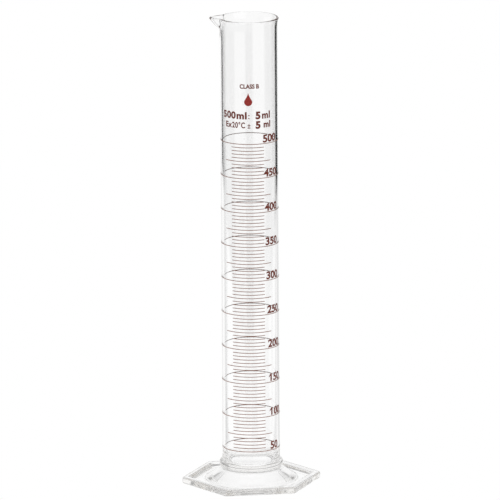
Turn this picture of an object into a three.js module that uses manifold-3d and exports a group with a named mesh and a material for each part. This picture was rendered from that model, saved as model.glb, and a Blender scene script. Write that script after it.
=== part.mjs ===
// A 500 ml glass measuring cylinder with a pouring spout, a pressed hexagonal foot and a fired enamel scale.
// Millimetres, +Z up, with the origin in the middle of the underside.
// The scale faces -Y and the spout points to -X.
import * as THREE from "three";
import { mergeVertices } from "three/addons/utils/BufferGeometryUtils.js";
import Module from "manifold-3d";

const wasm = await Module();
wasm.setup();

// Overall
const HEIGHT = 412;
const FACETS = 48; // flat sides that stand for every round surface
const TUBE_RADIUS = 25;
const WALL = 2.1;
const BORE_RADIUS = TUBE_RADIUS - WALL;

// Foot: a hexagonal plate with a raised border, a low cone and a short neck, hollow underneath
const FOOT_ACROSS_FLATS = 106;
const FOOT_CORNER_RADIUS = 4;
const FOOT_EDGE_HEIGHT = 5.8;
const FOOT_EDGE_ROUNDING = 1.4;
const FOOT_TURN = 12; // degrees, how far a corner stands round from +X
const BORDER_WIDTH = 5;
const BORDER_SLOPE = 4; // how far the inner side of the border reaches inwards
const VALLEY_Z = 3.6; // the plate's top inside its border
const CONE_BASE_RADIUS = 42;
const CONE_BEND_RADIUS = 33; // the cone's side bends towards this point
const CONE_BEND_Z = 8;
const NECK_RADIUS = 26;
const NECK_HEIGHT = 0.6;
const WELD_Z = 14.6; // the foot is fused to the tube here
const RECESS_RADIUS = 39.4; // at the underside
const RECESS_BEND_RADIUS = 30.5; // the side of the recess bends towards this point
const RECESS_BEND_Z = 3.4;
const RECESS_SLOPE_RADIUS = 24.5; // top of the side, where the shoulder starts
const RECESS_SLOPE_Z = 8.6;
const RECESS_SHOULDER_RADIUS = 22;
const RECESS_CROWN_RADIUS = 17; // the flat top
const RECESS_DEPTH = 11.5;

// Tube: closed at its bottom end, with a round bead outside
const HEEL_RADIUS = 27.8;
const HEEL_Z = 17; // where the bead is widest
const HEEL_TOP_Z = 21.5;
const HEEL_BOTTOM_BEND_Z = 15;
const HEEL_TOP_BEND_Z = 19.6;
const FLOOR_Z = 16.5; // inside bottom
const FLOOR_CORNER_RADIUS = 5;

// Rim: a fire-polished lip and a pulled spout
const RIM_WELD_Z = 396;
const FLARE_START_Z = 402;
const LIP_RADIUS = 26; // outside of the lip
const LIP_THICKNESS = 2.4;
const SPOUT_REACH = 8; // how far the lip is pulled out past its circle
const SPOUT_HALF_ANGLE = 26; // degrees
const SPOUT_CURVE = 0.6; // under 1: the spout leaves the tube sharply and straightens towards its tip

// Scale: equal steps, one for each 50 ml that the bore holds
const SCALE_TOP_ML = 500;
const SCALE_TOP_Z = 305;
const RING_STEP_ML = 50;
const RING_STEP_Z = (RING_STEP_ML * 1000) / (Math.PI * BORE_RADIUS ** 2);
const ENAMEL_THICKNESS = 0.1;
const RING_WIDTH = 0.6;
const HALF_MARK_WIDTH = 0.6;
const HALF_MARK_SPAN = 100; // degrees round the tube, centred on -Y

const radians = THREE.MathUtils.degToRad;
const point = (x, y) => new THREE.Vector2(x, y);

function glass() {
  return new THREE.MeshStandardMaterial({ color: 0xeef3f1, roughness: 0.04, metalness: 0 });
}

function enamel() {
  return new THREE.MeshStandardMaterial({ color: 0x7d3a2b, roughness: 0.45, metalness: 0 });
}

function named(name, geometry, material) {
  const mesh = new THREE.Mesh(geometry, material);
  mesh.name = name;
  return mesh;
}

// Points along a curve from one profile point to another, bent towards a third, without the two ends.
function bend(from, towards, to, pieces) {
  return new THREE.QuadraticBezierCurve(from, towards, to).getPoints(pieces).slice(1, -1);
}

// A solid of revolution about +Z. Its profile is (radius, height) points, anticlockwise.
function turned(profile) {
  return new THREE.LatheGeometry(profile, FACETS).rotateX(Math.PI / 2);
}

function toSolid(geometry) {
  const merged = geometry.index ? geometry.toNonIndexed() : geometry.clone();
  merged.deleteAttribute("normal");
  merged.deleteAttribute("uv");
  const welded = mergeVertices(merged, 1e-3);
  return new wasm.Manifold(
    new wasm.Mesh({
      numProp: 3,
      vertProperties: welded.attributes.position.array,
      triVerts: new Uint32Array(welded.index.array),
    }),
  );
}

function toGeometry(solid) {
  const mesh = solid.getMesh();
  const geometry = new THREE.BufferGeometry();
  geometry.setAttribute("position", new THREE.BufferAttribute(mesh.vertProperties, mesh.numProp));
  geometry.setIndex(new THREE.BufferAttribute(mesh.triVerts, 1));
  return geometry;
}

// Hexagon with rounded corners, its first corner on +X.
function roundedHexagon(acrossFlats, cornerRadius) {
  const shape = new THREE.Shape();
  const reach = (acrossFlats / 2 - cornerRadius) / Math.cos(radians(30));
  for (let corner = 0; corner < 6; corner += 1) {
    const angle = radians(60 * corner);
    const x = reach * Math.cos(angle);
    const y = reach * Math.sin(angle);
    shape.absarc(x, y, cornerRadius, angle - radians(30), angle + radians(30), false);
  }
  shape.closePath();
  return shape;
}

function footPlate() {
  const plate = new THREE.ExtrudeGeometry(roundedHexagon(FOOT_ACROSS_FLATS, FOOT_CORNER_RADIUS), {
    depth: FOOT_EDGE_HEIGHT - 2 * FOOT_EDGE_ROUNDING,
    curveSegments: 4,
    bevelThickness: FOOT_EDGE_ROUNDING,
    bevelSize: FOOT_EDGE_ROUNDING,
    bevelOffset: -FOOT_EDGE_ROUNDING,
    bevelSegments: 3,
  });
  return plate.translate(0, 0, FOOT_EDGE_ROUNDING);
}

// The space inside the border, with sloping sides.
function footDish() {
  const acrossFlats = FOOT_ACROSS_FLATS - 2 * BORDER_WIDTH;
  const dish = new THREE.ExtrudeGeometry(roundedHexagon(acrossFlats, FOOT_CORNER_RADIUS + BORDER_SLOPE), {
    depth: FOOT_EDGE_HEIGHT,
    curveSegments: 4,
    bevelThickness: FOOT_EDGE_HEIGHT - VALLEY_Z,
    bevelSize: BORDER_SLOPE,
    bevelOffset: -BORDER_SLOPE,
    bevelSegments: 1,
  });
  return dish.translate(0, 0, FOOT_EDGE_HEIGHT);
}

// The low cone rises from inside the plate to the neck.
function footCone() {
  const inPlate = VALLEY_Z - 0.2;
  const base = point(CONE_BASE_RADIUS, inPlate);
  const neckFoot = point(NECK_RADIUS, WELD_Z - NECK_HEIGHT);
  return turned([
    point(0, inPlate / 2),
    point(CONE_BASE_RADIUS, inPlate / 2),
    base,
    ...bend(base, point(CONE_BEND_RADIUS, CONE_BEND_Z), neckFoot, 5),
    neckFoot,
    point(NECK_RADIUS, WELD_Z),
    point(0, WELD_Z),
  ]);
}

// The space under the foot follows the cone, so that the cone is a shell.
function footRecess() {
  const below = -1;
  const edge = point(RECESS_RADIUS, 0);
  const slopeTop = point(RECESS_SLOPE_RADIUS, RECESS_SLOPE_Z);
  const crownEdge = point(RECESS_CROWN_RADIUS, RECESS_DEPTH);
  return turned([
    point(0, below),
    point(RECESS_RADIUS, below),
    edge,
    ...bend(edge, point(RECESS_BEND_RADIUS, RECESS_BEND_Z), slopeTop, 4),
    slopeTop,
    ...bend(slopeTop, point(RECESS_SHOULDER_RADIUS, RECESS_DEPTH), crownEdge, 4),
    crownEdge,
    point(0, RECESS_DEPTH),
  ]);
}

function hexagonalFoot() {
  const plate = toSolid(footPlate()).subtract(toSolid(footDish()));
  const solid = plate.add(toSolid(footCone())).subtract(toSolid(footRecess()));
  const mesh = named("hexagonal_foot", toGeometry(solid), glass());
  mesh.rotation.z = radians(FOOT_TURN);
  return mesh;
}

function measuringTube() {
  const heelFoot = point(NECK_RADIUS, WELD_Z);
  const heelTop = point(TUBE_RADIUS, HEEL_TOP_Z);
  const heel = point(HEEL_RADIUS, HEEL_Z);
  const wallFoot = point(BORE_RADIUS, FLOOR_Z + FLOOR_CORNER_RADIUS);
  const floorEdge = point(BORE_RADIUS - FLOOR_CORNER_RADIUS, FLOOR_Z);
  return named(
    "measuring_tube",
    turned([
      point(0, WELD_Z),
      heelFoot,
      ...bend(heelFoot, point(HEEL_RADIUS, HEEL_BOTTOM_BEND_Z), heel, 4),
      heel,
      ...bend(heel, point(HEEL_RADIUS, HEEL_TOP_BEND_Z), heelTop, 5),
      heelTop,
      point(TUBE_RADIUS, RIM_WELD_Z),
      point(BORE_RADIUS, RIM_WELD_Z),
      wallFoot,
      ...bend(wallFoot, point(BORE_RADIUS, FLOOR_Z), floorEdge, 4),
      floorEdge,
      point(0, FLOOR_Z),
    ]),
    glass(),
  );
}

// The lip's section: the wall flares a little and ends in a round edge.
function lipProfile() {
  const edgeRadius = LIP_THICKNESS / 2;
  const middle = point(LIP_RADIUS - edgeRadius, HEIGHT - edgeRadius);
  const edge = [];
  const steps = 6;
  for (let step = 0; step <= steps; step += 1) {
    const angle = (Math.PI * step) / steps;
    edge.push(point(middle.x + edgeRadius * Math.cos(angle), middle.y + edgeRadius * Math.sin(angle)));
  }
  const outside = point(TUBE_RADIUS, FLARE_START_Z);
  const inside = point(BORE_RADIUS, FLARE_START_Z);
  return [
    point(BORE_RADIUS, RIM_WELD_Z),
    point(TUBE_RADIUS, RIM_WELD_Z),
    outside,
    ...bend(outside, point(TUBE_RADIUS, FLARE_START_Z + 5), edge[0], 5),
    ...edge,
    ...bend(edge[steps], point(BORE_RADIUS, FLARE_START_Z + 5), inside, 5),
    inside,
    point(BORE_RADIUS, RIM_WELD_Z),
  ];
}

// The spout pulls the lip out towards -X. The round edge moves as a whole, and the start of the flare stays.
function pullSpout(geometry) {
  const place = geometry.getAttribute("position");
  const edgeZ = HEIGHT - LIP_THICKNESS / 2;
  for (let i = 0; i < place.count; i += 1) {
    const x = place.getX(i);
    const y = place.getY(i);
    const turnFromSpout = THREE.MathUtils.radToDeg(Math.atan2(Math.abs(y), -x));
    const height = THREE.MathUtils.clamp((place.getZ(i) - FLARE_START_Z) / (edgeZ - FLARE_START_Z), 0, 1);
    if (turnFromSpout < SPOUT_HALF_ANGLE) {
      const across = Math.cos((Math.PI / 2) * (turnFromSpout / SPOUT_HALF_ANGLE)) ** 2;
      place.setX(i, x - SPOUT_REACH * across * height ** SPOUT_CURVE);
    }
  }
  return geometry;
}

function pouringRim() {
  return named("pouring_rim", pullSpout(turned(lipProfile())), glass());
}

// Where the flat-sided outside of the tube, with or without the enamel on it, lies at an angle from -Y.
function onWall(angle, thickness) {
  const side = (2 * Math.PI) / FACETS;
  const fromSideMiddle = angle - (Math.floor(angle / side) + 0.5) * side;
  const radius = ((TUBE_RADIUS + thickness) * Math.cos(side / 2)) / Math.cos(fromSideMiddle);
  return point(radius * Math.sin(angle), -radius * Math.cos(angle));
}

function ring(ml, z) {
  const inner = TUBE_RADIUS;
  const outer = TUBE_RADIUS + ENAMEL_THICKNESS;
  const low = z - RING_WIDTH / 2;
  const high = z + RING_WIDTH / 2;
  return named(
    `ring_${String(ml).padStart(3, "0")}ml`,
    turned([point(inner, low), point(outer, low), point(outer, high), point(inner, high), point(inner, low)]),
    enamel(),
  );
}

function halfMark(ml, z) {
  const side = (2 * Math.PI) / FACETS;
  const end = radians(HALF_MARK_SPAN / 2);
  const angles = [-end];
  for (let corner = Math.ceil(-end / side); corner * side < end; corner += 1) {
    angles.push(corner * side);
  }
  angles.push(end);
  const outside = angles.map((angle) => onWall(angle, ENAMEL_THICKNESS));
  const inside = angles.map((angle) => onWall(angle, 0)).reverse();
  const mark = new THREE.ExtrudeGeometry(new THREE.Shape([...outside, ...inside]), {
    depth: HALF_MARK_WIDTH,
    bevelEnabled: false,
  });
  mark.translate(0, 0, z - HALF_MARK_WIDTH / 2);
  return named(`half_mark_${String(ml).padStart(3, "0")}ml`, mark, enamel());
}

const cylinder = new THREE.Group();
cylinder.add(hexagonalFoot(), measuringTube(), pouringRim());

for (let ml = RING_STEP_ML; ml <= SCALE_TOP_ML; ml += RING_STEP_ML) {
  const z = SCALE_TOP_Z - ((SCALE_TOP_ML - ml) / RING_STEP_ML) * RING_STEP_Z;
  cylinder.add(ring(ml, z));
  if (ml < SCALE_TOP_ML) {
    cylinder.add(halfMark(ml + RING_STEP_ML / 2, z + RING_STEP_Z / 2));
  }
}

export default cylinder;
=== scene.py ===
"""A 500 ml glass measuring cylinder with a fired enamel scale.

It stands on a white light table in a white tent. Metres, +Z up.
"""

import math

import bmesh
import bpy
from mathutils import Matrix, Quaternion, Vector


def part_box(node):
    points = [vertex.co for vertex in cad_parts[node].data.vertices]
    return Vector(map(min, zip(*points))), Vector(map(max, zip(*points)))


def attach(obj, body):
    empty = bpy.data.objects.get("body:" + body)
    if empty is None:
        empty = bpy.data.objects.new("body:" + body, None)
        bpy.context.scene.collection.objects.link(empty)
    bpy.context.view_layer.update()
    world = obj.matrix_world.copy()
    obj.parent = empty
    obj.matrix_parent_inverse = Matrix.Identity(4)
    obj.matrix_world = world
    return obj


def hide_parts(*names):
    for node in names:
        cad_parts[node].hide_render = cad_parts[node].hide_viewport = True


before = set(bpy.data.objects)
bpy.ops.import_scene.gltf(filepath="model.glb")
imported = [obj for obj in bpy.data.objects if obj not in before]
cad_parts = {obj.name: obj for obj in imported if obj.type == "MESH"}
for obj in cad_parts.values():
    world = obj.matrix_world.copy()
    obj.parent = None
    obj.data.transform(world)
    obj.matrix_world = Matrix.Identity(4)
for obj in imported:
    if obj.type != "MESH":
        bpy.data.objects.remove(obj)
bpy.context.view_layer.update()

MM = 0.001
GLASS_SLOT = "clear_glass"
ENAMEL_SLOT = "brown_enamel"

# Places read from the frame
tube_low, tube_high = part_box("measuring_tube")
rim_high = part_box("pouring_rim")[1]
ring_nodes = sorted(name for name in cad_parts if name.startswith("ring_"))
half_mark_nodes = sorted(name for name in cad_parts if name.startswith("half_mark_"))
ring_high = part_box(ring_nodes[-1])[1]

CAD_ENAMEL = 0.1 * MM  # the print's thickness in the CAD
TUBE_RADIUS = ring_high.x - CAD_ENAMEL
LIP_RADIUS = rim_high.x
HEEL_RADIUS = tube_high.x
WELD_Z = tube_low.z
HEIGHT = rim_high.z

# Glass dimensions that the boxes do not give
WALL = 2.1 * MM
BORE_RADIUS = TUBE_RADIUS - WALL
FOOT_ACROSS_FLATS = 106 * MM
FOOT_CORNER_RADIUS = 4 * MM
FOOT_EDGE_HEIGHT = 5.8 * MM
FOOT_EDGE_ROUNDING = 1.4 * MM
BORDER_WIDTH = 5 * MM
BORDER_SLOPE = 4 * MM
BORDER_EASING = 1.5 * MM  # the slope starts this much sooner and ends this much later, rounded
VALLEY_Z = 3.6 * MM
FOOT_TURN = math.radians(12)
CONE_BASE_RADIUS = 42 * MM
CONE_BASE_CURVE = (3 * MM, 0.8 * MM)  # how far in and up the cone's base curves before the cone rises
CONE_BEND = (33 * MM, 8 * MM)
NECK_RADIUS = 26 * MM
NECK_HEIGHT = 0.6 * MM
RECESS_RADIUS = 39.4 * MM
RECESS_LIP = (0.6 * MM, 0.4 * MM)  # width and height of the curve between the flat band and the hollow
RECESS_LIP_BEND = 0.1 * MM
RECESS_BEND = (30.5 * MM, 3.4 * MM)
RECESS_SLOPE = (24.5 * MM, 8.6 * MM)
RECESS_SHOULDER_RADIUS = 22 * MM
RECESS_CROWN_RADIUS = 17 * MM
RECESS_DEPTH = 11.5 * MM
HEEL_Z = 17 * MM
HEEL_TOP_Z = 21.5 * MM
HEEL_BOTTOM_BEND_Z = 15 * MM
HEEL_TOP_BEND_Z = 19.6 * MM
FLOOR_Z = 16.5 * MM
FLOOR_CORNER_RADIUS = 5 * MM
FLOOR_MIDDLE_RADIUS = 1 * MM  # the last round row before the tip on the axis
FLARE_START_Z = 402 * MM
FLARE_BEND_Z = FLARE_START_Z + 5 * MM
LIP_THICKNESS = 2.4 * MM
SPOUT_REACH = 8 * MM
SPOUT_HALF_ANGLE = math.radians(26)
SPOUT_CURVE = 0.6  # under 1: the spout leaves the tube sharply and straightens towards its tip

# Print
ENAMEL_PROUD = 0.05 * MM
ENAMEL_SUNK = 0.03 * MM
SHORT_MARK_SPAN = math.radians(68)
SHORT_MARKS_PER_HALF = 4
HALF_MARK_SPAN = math.radians(100)
MARK_WIDTH = 0.6 * MM
RING_WIDTH = 0.6 * MM

# The darkest and the lightest colour of each enamel
LINE_INK = ((0.28, 0.12, 0.08), (0.42, 0.21, 0.15))
PRINT_INK = ((0.16, 0.018, 0.007), (0.25, 0.046, 0.020))
RED_INK = ((0.34, 0.022, 0.018), (0.46, 0.045, 0.034))

# Surfaces. Noise scales are for each metre, and a bump is its strength and its distance in metres
GLASS_IOR = 1.48
GLASS_TINT = (0.60, 0.54, 0.44, 1)
GLASS_TINT_DENSITY = 2
HAZE_SCALE = 40
HAZE_ROUGHNESS = (0.0, 0.012)
DRAW_LINE_SCALE = 90
DRAW_LINE_STRETCH = (1, 1, 0.04)
DRAW_LINE_BUMP = (0.02, 0.0001)
INK_SCALE = 900
INK_RAMP = (0.35, 0.7)  # the noise where the darkest colour ends and the lightest starts
GRAIN_SCALE = 3000
GRAIN_ROUGHNESS = (0.4, 0.6)
GRAIN_BUMP = (0.25, 0.00002)

# Camera
CAMERA_AZIMUTH = math.radians(3.8)
CAMERA_ELEVATION = math.radians(12.9)
CAMERA_ROLL = math.radians(-0.36)  # the cylinder leans a little in the picture
CAMERA_DISTANCE = 8.0
SENSOR_WIDTH = 36.0
VIEW_WIDTH = 1.0518 * HEIGHT  # what the frame shows from side to side, at the tube
AIM_HEIGHT = 0.5001 * HEIGHT


def add_camera():
    data = bpy.data.cameras.new("camera")
    data.sensor_width = SENSOR_WIDTH
    data.lens = SENSOR_WIDTH * CAMERA_DISTANCE / VIEW_WIDTH
    data.clip_end = 100
    camera = bpy.data.objects.new("camera", data)
    bpy.context.scene.collection.objects.link(camera)
    level = math.cos(CAMERA_ELEVATION)
    back = Vector((
        math.sin(CAMERA_AZIMUTH) * level,
        -math.cos(CAMERA_AZIMUTH) * level,
        math.sin(CAMERA_ELEVATION),
    ))
    camera.location = Vector((0, 0, AIM_HEIGHT)) + back * CAMERA_DISTANCE
    upright = (-back).to_track_quat("-Z", "Y")
    camera.rotation_euler = (upright @ Quaternion((0, 0, 1), CAMERA_ROLL)).to_euler()
    bpy.context.scene.camera = camera


# Node helpers

NOISE_MIDDLE = (0.3, 0.7)  # nearly all of a noise's values lie between these


def new_material(name):
    material = bpy.data.materials.new(name)
    material.use_nodes = True
    nodes = material.node_tree.nodes
    nodes.clear()
    output = nodes.new("ShaderNodeOutputMaterial")
    shader = nodes.new("ShaderNodeBsdfPrincipled")
    material.node_tree.links.new(shader.outputs["BSDF"], output.inputs["Surface"])
    return material, nodes, material.node_tree.links, shader


def noise(nodes, links, scale, detail=2.0, stretch=(1, 1, 1)):
    """Noise in the object's own coordinates, stretched along its axes."""
    place = nodes.new("ShaderNodeTexCoord")
    mapping = nodes.new("ShaderNodeMapping")
    mapping.inputs["Scale"].default_value = stretch
    texture = nodes.new("ShaderNodeTexNoise")
    texture.inputs["Scale"].default_value = scale
    texture.inputs["Detail"].default_value = detail
    links.new(place.outputs["Object"], mapping.inputs["Vector"])
    links.new(mapping.outputs["Vector"], texture.inputs["Vector"])
    return texture.outputs["Fac"]


def mapped(nodes, links, value, low, high):
    """A noise's middle range spread from low to high."""
    spread = nodes.new("ShaderNodeMapRange")
    spread.inputs["From Min"].default_value = NOISE_MIDDLE[0]
    spread.inputs["From Max"].default_value = NOISE_MIDDLE[1]
    spread.inputs["To Min"].default_value = low
    spread.inputs["To Max"].default_value = high
    links.new(value, spread.inputs["Value"])
    return spread.outputs["Result"]


def bumped(nodes, links, shader, height, strength, distance):
    bump = nodes.new("ShaderNodeBump")
    bump.inputs["Strength"].default_value = strength
    bump.inputs["Distance"].default_value = distance
    links.new(height, bump.inputs["Height"])
    links.new(bump.outputs["Normal"], shader.inputs["Normal"])


def glass_material():
    """Clear laboratory glass: faint lengthwise draw lines, and a very slight haze that varies."""
    material, nodes, links, shader = new_material("clear_glass")
    shader.inputs["Base Color"].default_value = (1, 1, 1, 1)
    shader.inputs["Transmission Weight"].default_value = 1
    shader.inputs["IOR"].default_value = GLASS_IOR
    haze = noise(nodes, links, HAZE_SCALE, detail=3)
    links.new(mapped(nodes, links, haze, *HAZE_ROUGHNESS), shader.inputs["Roughness"])
    draw_lines = noise(nodes, links, DRAW_LINE_SCALE, stretch=DRAW_LINE_STRETCH)
    bumped(nodes, links, shader, draw_lines, *DRAW_LINE_BUMP)
    depth = nodes.new("ShaderNodeVolumeAbsorption")
    depth.inputs["Color"].default_value = GLASS_TINT
    depth.inputs["Density"].default_value = GLASS_TINT_DENSITY
    links.new(depth.outputs["Volume"], nodes["Material Output"].inputs["Volume"])
    return material


def enamel_material(name, dark, light):
    """Fired print: ink density varies, and the surface is satin with a fine grain."""
    material, nodes, links, shader = new_material(name)
    density = noise(nodes, links, INK_SCALE, detail=3)
    ramp = nodes.new("ShaderNodeValToRGB")
    for element, position, color in zip(ramp.color_ramp.elements, INK_RAMP, (dark, light)):
        element.position = position
        element.color = (*color, 1)
    links.new(density, ramp.inputs["Fac"])
    links.new(ramp.outputs["Color"], shader.inputs["Base Color"])
    grain = noise(nodes, links, GRAIN_SCALE)
    links.new(mapped(nodes, links, grain, *GRAIN_ROUGHNESS), shader.inputs["Roughness"])
    bumped(nodes, links, shader, grain, *GRAIN_BUMP)
    return material


# Mesh helpers


def add_piece(name, vertices, faces, material, slot, replaced=()):
    mesh = bpy.data.meshes.new(name)
    mesh.from_pydata(vertices, [], faces)
    mesh.materials.append(material)
    mesh.polygons.foreach_set("use_smooth", [True] * len(mesh.polygons))
    mesh.update()
    piece = bpy.data.objects.new(name, mesh)
    bpy.context.scene.collection.objects.link(piece)
    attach(piece, "root")
    if replaced:
        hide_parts(*replaced)
    return piece


def bend(start, towards, end, pieces):
    """Points after start, on a curve to end that leaves and arrives along straight lines through towards."""
    points = []
    for step in range(1, pieces + 1):
        t = step / pieces
        points.append(tuple(
            (1 - t) ** 2 * a + 2 * t * (1 - t) * b + t**2 * c
            for a, b, c in zip(start, towards, end)
        ))
    return points


def straight(start, end, pieces):
    return bend(start, tuple((a + b) / 2 for a, b in zip(start, end)), end, pieces)


def closed_skin(rows, low_tip, high_tip):
    """Vertices and faces of a closed skin: rows of points round the axis, from one tip on it to the other."""
    count = len(rows[0])
    vertices = [point for row in rows for point in row]
    faces = []
    for row in range(len(rows) - 1):
        for column in range(count):
            after = (column + 1) % count
            a = row * count
            faces.append((a + column, a + after, a + count + after, a + count + column))
    first_tip = len(vertices)
    vertices += [low_tip, high_tip]
    last = (len(rows) - 1) * count
    for column in range(count):
        after = (column + 1) % count
        faces.append((first_tip, after, column))
        faces.append((first_tip + 1, last + column, last + after))
    return vertices, faces


# Glass

COLUMNS = 576
column_angles = [2 * math.pi * column / COLUMNS for column in range(COLUMNS)]
HALF_SIDE_ANGLE = math.pi / 6  # from a corner of the hexagon to the middle of a side
ROUNDING_STEPS = 6
EDGE_ROW_SHARES = (0.08, 0.5, 0.92)  # where rows lie on the straight part of the foot's edge
BORDER_STEPS = 12
LIP_STEPS = 14


def hexagon_reach(angle, inset):
    """Distance from the axis to the foot's rounded outline, moved in by inset, at an angle from +X."""
    past_corner = (angle - FOOT_TURN + HALF_SIDE_ANGLE) % (2 * HALF_SIDE_ANGLE) - HALF_SIDE_ANGLE
    from_corner = abs(past_corner)
    radius = FOOT_CORNER_RADIUS - inset
    middle = (FOOT_ACROSS_FLATS / 2 - FOOT_CORNER_RADIUS) / math.cos(HALF_SIDE_ANGLE)
    arc_end = math.atan2(radius * math.sin(HALF_SIDE_ANGLE), middle + radius * math.cos(HALF_SIDE_ANGLE))
    if from_corner >= arc_end:
        return (FOOT_ACROSS_FLATS / 2 - inset) / math.cos(HALF_SIDE_ANGLE - from_corner)
    across = middle * math.sin(from_corner)
    return middle * math.cos(from_corner) + math.sqrt(max(radius**2 - across**2, 0))


def round_row(radius, z):
    return [(radius * math.cos(a), radius * math.sin(a), z) for a in column_angles]


def hexagon_row(inset, z):
    reaches = [hexagon_reach(a, inset) for a in column_angles]
    return [(reach * math.cos(a), reach * math.sin(a), z) for reach, a in zip(reaches, column_angles)]


def rows_between(first, last, steps):
    """Rows strictly between two rows, point by point."""
    made = []
    for step in range(1, steps):
        t = step / steps
        made.append([tuple(a + (b - a) * t for a, b in zip(p, q)) for p, q in zip(first, last)])
    return made


def underside_rows():
    """From the crown of the hollow down to the flat band and out to the foot's edge."""
    crown = (0, RECESS_DEPTH)
    edge = (RECESS_RADIUS, RECESS_LIP[1])
    land = (RECESS_RADIUS + RECESS_LIP[0], 0)
    profile = straight(crown, (RECESS_CROWN_RADIUS, RECESS_DEPTH), 12)
    profile += bend(profile[-1], (RECESS_SHOULDER_RADIUS, RECESS_DEPTH), RECESS_SLOPE, 16)
    profile += bend(RECESS_SLOPE, RECESS_BEND, edge, 20)
    profile += bend(edge, (RECESS_RADIUS + RECESS_LIP_BEND, 0), land, 4)
    rows = [round_row(r, z) for r, z in profile]
    last = hexagon_row(FOOT_EDGE_ROUNDING, 0)
    return rows + rows_between(rows[-1], last, 12)


def foot_edge_rows():
    """Up the foot's edge, which is rounded below and above."""
    turns = [math.pi / 2 * step / ROUNDING_STEPS for step in range(ROUNDING_STEPS + 1)]
    straight_height = FOOT_EDGE_HEIGHT - 2 * FOOT_EDGE_ROUNDING
    rows = []
    for turn in turns:
        inset = FOOT_EDGE_ROUNDING * (1 - math.sin(turn))
        rows.append(hexagon_row(inset, FOOT_EDGE_ROUNDING * (1 - math.cos(turn))))
    for share in EDGE_ROW_SHARES:
        rows.append(hexagon_row(0, FOOT_EDGE_ROUNDING + straight_height * share))
    for turn in turns:
        inset = FOOT_EDGE_ROUNDING * (1 - math.cos(turn))
        z = FOOT_EDGE_HEIGHT - FOOT_EDGE_ROUNDING * (1 - math.sin(turn))
        rows.append(hexagon_row(inset, z))
    return rows


def small_hexagon_row(inset, z):
    """The foot's outline made smaller all over until its sides have moved in by inset."""
    share = 1 - inset / (FOOT_ACROSS_FLATS / 2)
    return [(x * share, y * share, z) for x, y, _ in hexagon_row(0, z)]


def foot_top_rows(edge_row):
    """From the edge over the raised border and the valley inside it, and up the cone to the neck."""
    rows = []
    for step in range(BORDER_STEPS + 1):
        share = step / BORDER_STEPS
        inset = BORDER_WIDTH - BORDER_EASING + (BORDER_SLOPE + 2 * BORDER_EASING) * share
        drop = (1 - math.cos(math.pi * share)) / 2
        rows.append(small_hexagon_row(inset, FOOT_EDGE_HEIGHT - (FOOT_EDGE_HEIGHT - VALLEY_Z) * drop))
    rows = rows_between(edge_row, rows[0], 3) + rows
    base = (CONE_BASE_RADIUS, VALLEY_Z)
    neck = (NECK_RADIUS, WELD_Z - NECK_HEIGHT)
    first = round_row(*base)
    rows += rows_between(rows[-1], first, 6) + [first]
    curve_in, curve_up = CONE_BASE_CURVE
    rise = (CONE_BASE_RADIUS - curve_in, VALLEY_Z + curve_up)
    profile = bend(base, (CONE_BASE_RADIUS - curve_in / 2, VALLEY_Z), rise, 5)
    profile += bend(rise, CONE_BEND, neck, 20)
    return rows + [round_row(r, z) for r, z in profile]


def tube_outside_profile():
    """From the neck over the heel and up the tube to the flare."""
    neck = (NECK_RADIUS, WELD_Z - NECK_HEIGHT)
    waist = (NECK_RADIUS, WELD_Z)
    heel = (HEEL_RADIUS, HEEL_Z)
    heel_top = (TUBE_RADIUS, HEEL_TOP_Z)
    profile = straight(neck, waist, 2)
    profile += bend(waist, (HEEL_RADIUS, HEEL_BOTTOM_BEND_Z), heel, 12)
    profile += bend(heel, (HEEL_RADIUS, HEEL_TOP_BEND_Z), heel_top, 16)
    return profile + straight(heel_top, (TUBE_RADIUS, FLARE_START_Z), 40)


def lip_profile():
    """From the outside of the tube over the lip to the bore, with the flare on both sides."""
    edge_radius = LIP_THICKNESS / 2
    middle = (LIP_RADIUS - edge_radius, HEIGHT - edge_radius)
    outside = (TUBE_RADIUS, FLARE_START_Z)
    inside = (BORE_RADIUS, FLARE_START_Z)
    out_edge = (middle[0] + edge_radius, middle[1])
    in_edge = (middle[0] - edge_radius, middle[1])
    profile = bend(outside, (TUBE_RADIUS, FLARE_BEND_Z), out_edge, 12)
    for step in range(1, LIP_STEPS + 1):
        angle = math.pi * step / LIP_STEPS
        profile.append((middle[0] + edge_radius * math.cos(angle), middle[1] + edge_radius * math.sin(angle)))
    return profile + bend(in_edge, (BORE_RADIUS, FLARE_BEND_Z), inside, 12)


def bore_profile():
    """From the flare down the bore, round its corner and in over the inside bottom."""
    wall_foot = (BORE_RADIUS, FLOOR_Z + FLOOR_CORNER_RADIUS)
    floor_edge = (BORE_RADIUS - FLOOR_CORNER_RADIUS, FLOOR_Z)
    profile = straight((BORE_RADIUS, FLARE_START_Z), wall_foot, 40)
    profile += bend(wall_foot, (BORE_RADIUS, FLOOR_Z), floor_edge, 10)
    return profile + straight(floor_edge, (FLOOR_MIDDLE_RADIUS, FLOOR_Z), 10)


def with_spout(point):
    """Pulls a point of the rim out towards -X, most at the top edge and not at all where the flare starts."""
    x, y, z = point
    turn = math.atan2(abs(y), -x)
    if z <= FLARE_START_Z or turn >= SPOUT_HALF_ANGLE:
        return point
    across = math.cos(math.pi / 2 * turn / SPOUT_HALF_ANGLE) ** 2
    height = min((z - FLARE_START_Z) / (HEIGHT - LIP_THICKNESS / 2 - FLARE_START_Z), 1)
    return (x - SPOUT_REACH * across * height**SPOUT_CURVE, y, z)


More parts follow.
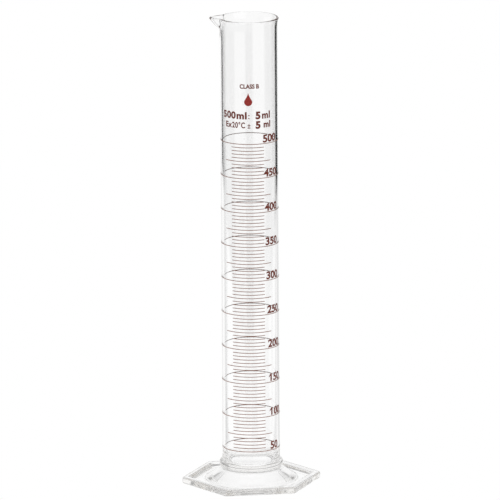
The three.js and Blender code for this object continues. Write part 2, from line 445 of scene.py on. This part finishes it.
def add_glass(material):
    """One closed skin for the foot, the tube, the rim and the spout, because real glass shows no joins."""
    edge_rows = foot_edge_rows()
    rows = underside_rows()[:-1] + edge_rows + foot_top_rows(edge_rows[-1])
    rows += [round_row(r, z) for r, z in tube_outside_profile()]
    rows += [[with_spout(p) for p in round_row(r, z)] for r, z in lip_profile()]
    rows += [round_row(r, z) for r, z in bore_profile()]
    vertices, faces = closed_skin(rows, (0, 0, RECESS_DEPTH), (0, 0, FLOOR_Z))
    nodes = ("measuring_tube", "pouring_rim", "hexagonal_foot")
    return add_piece("glass_body", vertices, faces, material, GLASS_SLOT, nodes)


# Enamel

RING_COLUMNS = 360
MARK_STEP = math.radians(2)
LINE_EDGE_SHARE = 0.4  # how proud a line's edges are, as a share of its middle
LINE_FLAT_SHARE = 0.6  # how wide the middle is, as a share of the line


def on_tube(angle, proud, z):
    """A point of the outside of the tube. The angle is counted from -Y towards +X."""
    radius = TUBE_RADIUS + proud
    return (radius * math.sin(angle), -radius * math.cos(angle), z)


def band_section(width, z):
    """Section of a printed line: sunk into the glass at the back, with a low round front."""
    half = width / 2
    return [
        (-ENAMEL_SUNK, z - half),
        (ENAMEL_PROUD * LINE_EDGE_SHARE, z - half),
        (ENAMEL_PROUD, z - half * LINE_FLAT_SHARE),
        (ENAMEL_PROUD, z + half * LINE_FLAT_SHARE),
        (ENAMEL_PROUD * LINE_EDGE_SHARE, z + half),
        (-ENAMEL_SUNK, z + half),
    ]


def ring_mesh(width, z):
    """A line all round the tube."""
    section = band_section(width, z)
    count = len(section)
    vertices, faces = [], []
    for column in range(RING_COLUMNS):
        angle = 2 * math.pi * column / RING_COLUMNS
        vertices += [on_tube(angle, proud, height) for proud, height in section]
        after = (column + 1) % RING_COLUMNS
        for i in range(count):
            j = (i + 1) % count
            faces.append((column * count + i, after * count + i, after * count + j, column * count + j))
    return vertices, faces


def mark_mesh(span, width, z):
    """A line over the given angle, with its middle at -Y."""
    section = band_section(width, z)
    count = len(section)
    steps = round(span / MARK_STEP)
    vertices, faces = [], []
    for step in range(steps + 1):
        angle = span * (step / steps - 0.5)
        vertices += [on_tube(angle, proud, height) for proud, height in section]
    for step in range(steps):
        for i in range(count):
            j = (i + 1) % count
            a = step * count
            faces.append((a + i, a + count + i, a + count + j, a + j))
    faces.append(tuple(range(count)))
    faces.append(tuple(steps * count + i for i in reversed(range(count))))
    return vertices, faces


def joined(parts):
    """Several closed meshes as one."""
    vertices, faces = [], []
    for part_vertices, part_faces in parts:
        shift = len(vertices)
        vertices += part_vertices
        faces += [tuple(i + shift for i in face) for face in part_faces]
    return vertices, faces


def middle_of(node):
    low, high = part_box(node)
    return (low.z + high.z) / 2


def add_scale(material):
    ring_heights = [middle_of(node) for node in ring_nodes]
    for node, z in zip(ring_nodes, ring_heights):
        add_piece(f"enamel_{node}", *ring_mesh(RING_WIDTH, z), material, ENAMEL_SLOT, [node])
    for node in half_mark_nodes:
        mark = mark_mesh(HALF_MARK_SPAN, MARK_WIDTH, middle_of(node))
        add_piece(f"enamel_{node}", *mark, material, ENAMEL_SLOT, [node])
    divisions = 2 * (SHORT_MARKS_PER_HALF + 1)  # from one ring to the next
    division = (ring_heights[1] - ring_heights[0]) / divisions
    steps = [step for step in range(1, divisions) if step != divisions // 2]
    for node, z in zip(ring_nodes[:-1], ring_heights):
        marks = [mark_mesh(SHORT_MARK_SPAN, MARK_WIDTH, z + division * step) for step in steps]
        name = node.replace("ring_", "short_marks_above_")
        add_piece(name, *joined(marks), material, ENAMEL_SLOT)


# Lettering: flat outlines from the built-in font, cut fine and wrapped round the tube

CAP_HEIGHT_SHARE = 0.691  # of the font's size
TEXT_CURVE_STEPS = 6
BEND_STEP = 0.5 * MM  # width of the strips that a text is cut into
SAME_POINT = 1e-7
# Corners of the stroke at a figure one's top left: from its stem's left side and its base, in cap heights
FIGURE_ONE_FLAG = ((-0.24, 0.66), (-0.24, 0.5), (0.02, 0.74), (0.02, 1))


def prism(solid, outline, low, high):
    """Adds a flat solid with the outline, which runs anticlockwise."""
    lower = [solid.verts.new((x, y, low)) for x, y in outline]
    upper = [solid.verts.new((x, y, high)) for x, y in outline]
    solid.faces.new(reversed(lower))
    solid.faces.new(upper)
    count = len(outline)
    for i in range(count):
        j = (i + 1) % count
        solid.faces.new((lower[i], lower[j], upper[j], upper[i]))


def add_flag(solid, cap_height):
    """Gives a figure one the stroke at its top left, which the font leaves out."""
    left = min(v.co.x for v in solid.verts)
    half = (ENAMEL_PROUD + ENAMEL_SUNK) / 2
    outline = [(left + across * cap_height, up * cap_height) for across, up in FIGURE_ONE_FLAG]
    prism(solid, outline, -half, half)


def flat_text(text, cap_height, boldness, spacing, stretch):
    """A solid, flat text with its lower left corner at the origin."""
    curve = bpy.data.curves.new("flat_text", "FONT")
    curve.body = text
    curve.size = cap_height / CAP_HEIGHT_SHARE
    curve.space_character = spacing
    curve.offset = boldness
    curve.resolution_u = TEXT_CURVE_STEPS
    curve.extrude = (ENAMEL_PROUD + ENAMEL_SUNK) / 2
    holder = bpy.data.objects.new("flat_text", curve)
    bpy.context.scene.collection.objects.link(holder)
    bpy.context.view_layer.update()
    mesh = bpy.data.meshes.new_from_object(holder.evaluated_get(bpy.context.evaluated_depsgraph_get()))
    bpy.data.objects.remove(holder)
    bpy.data.curves.remove(curve)
    solid = bmesh.new()
    solid.from_mesh(mesh)
    bpy.data.meshes.remove(mesh)
    if text.startswith("1"):
        add_flag(solid, cap_height)
    left = min(v.co.x for v in solid.verts)
    for vertex in solid.verts:
        vertex.co.x = (vertex.co.x - left) * stretch
        vertex.co.z += (ENAMEL_PROUD - ENAMEL_SUNK) / 2
    return solid


def wrap(solid, name, angle, z, material):
    """Cuts a flat solid into narrow strips and lays it on the tube from an angle rightwards."""
    bmesh.ops.remove_doubles(solid, verts=solid.verts, dist=SAME_POINT)
    right = max(v.co.x for v in solid.verts)
    left = min(v.co.x for v in solid.verts)
    for cut in range(math.ceil(left / BEND_STEP), math.ceil(right / BEND_STEP)):
        everything = solid.verts[:] + solid.edges[:] + solid.faces[:]
        bmesh.ops.bisect_plane(solid, geom=everything, plane_co=(cut * BEND_STEP, 0, 0), plane_no=(1, 0, 0))
    bmesh.ops.triangulate(solid, faces=[f for f in solid.faces if len(f.verts) > 4])
    for vertex in solid.verts:
        x, y, proud = vertex.co
        vertex.co = on_tube(angle + x / TUBE_RADIUS, proud, z + y)
    bmesh.ops.recalc_face_normals(solid, faces=solid.faces)
    mesh = bpy.data.meshes.new(name)
    solid.to_mesh(mesh)
    solid.free()
    mesh.materials.append(material)
    piece = bpy.data.objects.new(name, mesh)
    bpy.context.scene.collection.objects.link(piece)
    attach(piece, "root")


def add_text(name, text, angle, z, cap_height, material, boldness=0.32, spacing=1.0, stretch=1.0):
    """Boldness is how far the outline is thickened, in millimetres."""
    solid = flat_text(text, cap_height, boldness * MM, spacing, stretch)
    wrap(solid, name, math.radians(angle), z, material)


NUMBER_HEIGHT = 6.4 * MM
NUMBER_LIFT = 1.2 * MM  # from a ring's middle to its number
NUMBER_STRETCH = 1.1
NUMBER_START_LOW = 46.0  # degrees from -Y, at the lowest ring
NUMBER_START_HIGH = 31.5  # and at the highest one


def add_numbers(material):
    last = len(ring_nodes) - 1
    for index, node in enumerate(ring_nodes):
        millilitres = int(node[len("ring_"):-len("ml")])
        start = NUMBER_START_LOW + (NUMBER_START_HIGH - NUMBER_START_LOW) * index / last
        z = middle_of(node) + NUMBER_LIFT
        name = f"number_{millilitres:03d}"
        add_text(name, str(millilitres), start, z, NUMBER_HEIGHT, material, stretch=NUMBER_STRETCH)


DROP_RADIUS = 3.5 * MM
DROP_HEIGHT = 11.5 * MM
DROP_ARC = (-205, 25)  # degrees from +X where the round part starts and ends, anticlockwise
DROP_ARC_STEPS = 32
DROP_SIDE_BEND = (0.8 * MM, 0.72)  # away from the middle, and up as a share of the height
DROP_SIDE_STEPS = 8


def drop_mark():
    """A flat drop with its tip up: a plain sign for a liquid measure."""
    start, end = DROP_ARC
    outline = []
    for step in range(DROP_ARC_STEPS + 1):
        angle = math.radians(start + (end - start) * step / DROP_ARC_STEPS)
        outline.append((DROP_RADIUS * math.cos(angle), DROP_RADIUS + DROP_RADIUS * math.sin(angle)))
    left, right = outline[0], outline[-1]
    tip = (0, DROP_HEIGHT)
    bend_x, bend_z = DROP_SIDE_BEND[0], DROP_HEIGHT * DROP_SIDE_BEND[1]
    outline += bend(right, (bend_x, bend_z), tip, DROP_SIDE_STEPS)
    outline += bend(tip, (-bend_x, bend_z), left, DROP_SIDE_STEPS)[:-1]
    solid = bmesh.new()
    prism(solid, outline, -ENAMEL_SUNK, ENAMEL_PROUD)
    return solid


# Name, text, degrees from -Y where it starts, height of its base, cap height, boldness, spacing and stretch
INSCRIPTION = (
    ("capacity_500", "500", -56.0, 327.4, 5.8, 0.34, 1.08, 1.06),
    ("capacity_ml", "ml", -22.0, 327.4, 5.8, 0.36, 1.08, 1.1),
    ("capacity_colon", ":", 2.0, 327.4, 5.4, 0.1, 1.0, 1.0),
    ("division_5", "5", 16.5, 327.4, 6.0, 0.45, 1.0, 1.05),
    ("division_ml", "ml", 30.0, 327.4, 5.8, 0.35, 1.1, 1.0),
    ("temperature_ex", "Ex", -48.5, 319.4, 4.8, 0.22, 1.06, 0.95),
    ("temperature_20c", "20°C", -32.0, 319.4, 4.8, 0.2, 1.1, 0.78),
    ("tolerance_sign", "±", 0.5, 319.2, 4.6, 0.1, 1.0, 0.75),
    ("tolerance_5", "5", 16.5, 319.0, 6.0, 0.45, 1.0, 1.05),
    ("tolerance_ml", "ml", 33.5, 319.4, 5.4, 0.3, 1.06, 0.95),
    ("class_line", "CLASS B", -15.0, 354.2, 3.6, 0.2, 1.0, 0.9),
)
DROP_ANGLE = 2.0  # degrees from -Y
DROP_Z = 338.8 * MM


def add_inscription(dark, red):
    for name, text, angle, z, cap_height, *style in INSCRIPTION:
        add_text(name, text, angle, z * MM, cap_height * MM, dark, *style)
    wrap(drop_mark(), "drop_mark", math.radians(DROP_ANGLE), DROP_Z, red)


# Stage: a white light table in a white tent, which ends under a dark ceiling except in front, where a light
# overhead keeps the print lit. Past the table's edge and below the horizon stand white backdrops between dark
# flags, one for each side that the glass is seen from, so that its walls show as dark lines.

TABLE_RADIUS = 0.93
TABLE_MIDDLE = (-0.1, 0.4)
TABLE_FADE = 0.06
TABLE_DROP = 0.05 * MM  # the table lies this far under the foot
TABLE_SEGMENTS = 96
TABLE_GLOW = 1.0
TENT_GLOW = 0.95
BACKGROUND_GLOW = 0.4  # below the horizon, where nothing stands
HORIZON = (-0.05, -0.02)  # sines of the elevation where the tent starts
# Each backdrop: degrees from +X, and the sines of the lowest and highest elevation that it fills
BACKDROPS = ((99, -0.29, -0.122), (90, -0.122, 0), (180, -0.122, 0), (315, -1, -0.19))
BACKDROP_HALF_WIDTH = 25  # degrees
FLAG_REACH = 54  # degrees from a backdrop's middle to the end of the dark flags beside it
EDGE_FADE = 5  # degrees
# Dark flags that stand on the horizon inside the tent: degrees from +X and half width
HORIZON_FLAGS = ((20, 40), (176, 32), (245, 38))
HORIZON_FLAG_GLOW = 0.1  # the flags' glow, of the tent's
HORIZON_FLAG_TOP = (0.12, 0.5)  # sines of the elevation where they fade out
TENT_TOP = (0.3, 0.4)  # sines of the elevation where the tent ends under a dark ceiling
CEILING_SHARE = 0.05  # the ceiling's glow, of the tent's
FRONT_LIGHT = (275, 75)  # the tent reaches overhead here: degrees from +X and half width
# Grey cards that lie on the table: degrees from +X, half width and glow
TABLE_CARDS = ((158, 8, 0.4), (115, 6, 0.8), (66, 12, 0.75), (288, 12, 0.3), (342, 12, 0.3))
TABLE_CARD_START = (0.1, 0.16)  # distances from the axis between which they fade in
TABLE_CARD_FADE = 3  # degrees


def math_node(nodes, links, operation, first, second=None):
    node = nodes.new("ShaderNodeMath")
    node.operation = operation
    for value, socket in ((first, node.inputs[0]), (second, node.inputs[1])):
        if isinstance(value, (int, float)):
            socket.default_value = value
        elif value is not None:
            links.new(value, socket)
    return node.outputs[0]


def smooth_step(nodes, links, value, low, high, low_value=0.0, high_value=1.0):
    """A smooth change from low_value, where the value is low, to high_value, where it is high."""
    spread = nodes.new("ShaderNodeMapRange")
    spread.interpolation_type = "SMOOTHSTEP"
    spread.inputs["From Min"].default_value = low
    spread.inputs["From Max"].default_value = high
    spread.inputs["To Min"].default_value = low_value
    spread.inputs["To Max"].default_value = high_value
    links.new(value, spread.inputs["Value"])
    return spread.outputs["Result"]


def within(nodes, links, value, low, high):
    """1 where the value is between low and high, 0 elsewhere."""
    above = math_node(nodes, links, "GREATER_THAN", value, low)
    below = math_node(nodes, links, "LESS_THAN", value, high)
    return math_node(nodes, links, "MULTIPLY", above, below)


def near_heading(nodes, links, heading, turn, reach, fade=EDGE_FADE):
    """1 where the heading is within reach degrees of turn, 0 past it, with a soft edge."""
    towards = nodes.new("ShaderNodeVectorMath")
    towards.operation = "DOT_PRODUCT"
    towards.inputs[1].default_value = (math.cos(math.radians(turn)), math.sin(math.radians(turn)), 0)
    links.new(heading, towards.inputs[0])
    outside = math.cos(math.radians(reach + fade))
    inside = math.cos(math.radians(reach - fade))
    return smooth_step(nodes, links, towards.outputs["Value"], outside, inside)


def dimmed(nodes, links, glow, mask):
    """The glow, less the share of it that the mask takes away."""
    return math_node(nodes, links, "MULTIPLY", math_node(nodes, links, "SUBTRACT", 1, mask), glow)


def level_heading(nodes, links, direction):
    """The direction's level part, of length 1."""
    level = nodes.new("ShaderNodeVectorMath")
    level.operation = "MULTIPLY"
    level.inputs[1].default_value = (1, 1, 0)
    links.new(direction, level.inputs[0])
    flat = nodes.new("ShaderNodeVectorMath")
    flat.operation = "NORMALIZE"
    links.new(level.outputs[0], flat.inputs[0])
    return flat.outputs[0]


def backdrop_glow(nodes, links, heading, elevation):
    """Below the horizon: the backdrops, with dark flags beside them."""
    glow = BACKGROUND_GLOW
    for turn, lowest, highest in BACKDROPS:
        flag = near_heading(nodes, links, heading, turn, FLAG_REACH)
        flag = math_node(nodes, links, "MULTIPLY", flag, within(nodes, links, elevation, lowest, highest))
        glow = dimmed(nodes, links, glow, flag)
    for turn, lowest, highest in BACKDROPS:
        board = near_heading(nodes, links, heading, turn, BACKDROP_HALF_WIDTH)
        board = math_node(nodes, links, "MULTIPLY", board, within(nodes, links, elevation, lowest, highest))
        glow = math_node(nodes, links, "MAXIMUM", board, glow)
    return glow


def tent_glow(nodes, links, heading, elevation):
    """Above the horizon: the tent, its ceiling, the light in front and the flags that stand inside."""
    tent = smooth_step(nodes, links, elevation, *HORIZON, 0, TENT_GLOW)
    ceiling = smooth_step(nodes, links, elevation, *TENT_TOP, 1, CEILING_SHARE)
    ceiling = math_node(nodes, links, "MAXIMUM", ceiling, near_heading(nodes, links, heading, *FRONT_LIGHT))
    tent = math_node(nodes, links, "MULTIPLY", tent, ceiling)
    low_part = smooth_step(nodes, links, elevation, *HORIZON_FLAG_TOP, 1, 0)
    for turn, half_width in HORIZON_FLAGS:
        flag = near_heading(nodes, links, heading, turn, half_width)
        flag = math_node(nodes, links, "MULTIPLY", flag, low_part)
        flag = math_node(nodes, links, "MULTIPLY", flag, 1 - HORIZON_FLAG_GLOW)
        tent = dimmed(nodes, links, tent, flag)
    return tent


def add_world():
    """White for the camera. The glass shows the tent, and the backdrops and flags below the horizon."""
    world = bpy.data.worlds.new("studio")
    bpy.context.scene.world = world
    world.use_nodes = True
    nodes, links = world.node_tree.nodes, world.node_tree.links
    nodes.clear()
    place = nodes.new("ShaderNodeTexCoord")
    heading = level_heading(nodes, links, place.outputs["Generated"])
    parts = nodes.new("ShaderNodeSeparateXYZ")
    links.new(place.outputs["Generated"], parts.inputs[0])
    below = backdrop_glow(nodes, links, heading, parts.outputs["Z"])
    above = tent_glow(nodes, links, heading, parts.outputs["Z"])
    glow = math_node(nodes, links, "MAXIMUM", above, below)
    studio = nodes.new("ShaderNodeBackground")
    studio.inputs["Color"].default_value = (1, 1, 1, 1)
    links.new(glow, studio.inputs["Strength"])
    white = nodes.new("ShaderNodeBackground")
    white.inputs["Color"].default_value = (1, 1, 1, 1)
    path = nodes.new("ShaderNodeLightPath")
    either = nodes.new("ShaderNodeMixShader")
    output = nodes.new("ShaderNodeOutputWorld")
    links.new(path.outputs["Is Camera Ray"], either.inputs[0])
    links.new(studio.outputs[0], either.inputs[1])
    links.new(white.outputs[0], either.inputs[2])
    links.new(either.outputs[0], output.inputs[0])


def table_material():
    """Glows evenly but for the grey cards, and fades out at the edge. The camera sees pure white."""
    material = bpy.data.materials.new("light_table")
    material.use_nodes = True
    nodes, links = material.node_tree.nodes, material.node_tree.links
    nodes.clear()
    place = nodes.new("ShaderNodeTexCoord")
    from_middle = nodes.new("ShaderNodeVectorMath")
    from_middle.operation = "DISTANCE"
    from_middle.inputs[1].default_value = (*TABLE_MIDDLE, 0)
    links.new(place.outputs["Object"], from_middle.inputs[0])
    heading = level_heading(nodes, links, place.outputs["Object"])
    from_axis = nodes.new("ShaderNodeVectorMath")
    from_axis.operation = "LENGTH"
    links.new(place.outputs["Object"], from_axis.inputs[0])
    past_foot = smooth_step(nodes, links, from_axis.outputs["Value"], *TABLE_CARD_START)
    lit = TABLE_GLOW
    for turn, half_width, card_glow in TABLE_CARDS:
        card = near_heading(nodes, links, heading, turn, half_width, TABLE_CARD_FADE)
        card = math_node(nodes, links, "MULTIPLY", card, past_foot)
        card = math_node(nodes, links, "MULTIPLY", card, 1 - card_glow)
        lit = dimmed(nodes, links, lit, card)
    fade_start, fade_end = TABLE_RADIUS - TABLE_FADE, TABLE_RADIUS + TABLE_FADE
    fade = smooth_step(nodes, links, from_middle.outputs["Value"], fade_start, fade_end)
    path = nodes.new("ShaderNodeLightPath")
    glow = nodes.new("ShaderNodeEmission")
    links.new(math_node(nodes, links, "MAXIMUM", path.outputs["Is Camera Ray"], lit), glow.inputs["Strength"])
    clear = nodes.new("ShaderNodeBsdfTransparent")
    either = nodes.new("ShaderNodeMixShader")
    output = nodes.new("ShaderNodeOutputMaterial")
    links.new(fade, either.inputs[0])
    links.new(glow.outputs[0], either.inputs[1])
    links.new(clear.outputs[0], either.inputs[2])
    links.new(either.outputs[0], output.inputs["Surface"])
    return material


def add_floor():
    """The light table, a round white panel."""
    bm = bmesh.new()
    bmesh.ops.create_circle(bm, cap_ends=True, segments=TABLE_SEGMENTS, radius=TABLE_RADIUS + TABLE_FADE)
    bmesh.ops.translate(bm, verts=bm.verts, vec=(*TABLE_MIDDLE, 0))
    mesh = bpy.data.meshes.new("floor")
    bm.to_mesh(mesh)
    bm.free()
    mesh.materials.append(table_material())
    floor = bpy.data.objects.new("floor", mesh)
    floor.location = (0, 0, -TABLE_DROP)
    bpy.context.scene.collection.objects.link(floor)


BOUNCES = 96  # light is reflected many times inside glass, and a path that stops early shows as black


def set_light_paths():
    cycles = bpy.context.scene.cycles
    cycles.max_bounces = BOUNCES
    cycles.transmission_bounces = BOUNCES
    cycles.glossy_bounces = BOUNCES
    cycles.transparent_max_bounces = BOUNCES
    bpy.context.scene.view_settings.view_transform = "Standard"


add_camera()
set_light_paths()
add_world()
add_floor()
glass = glass_material()
line_enamel = enamel_material("enamel_lines", *LINE_INK)
text_enamel = enamel_material("enamel_print", *PRINT_INK)
red_enamel = enamel_material("enamel_red", *RED_INK)
add_glass(glass)
add_scale(line_enamel)
add_numbers(text_enamel)
add_inscription(text_enamel, red_enamel)
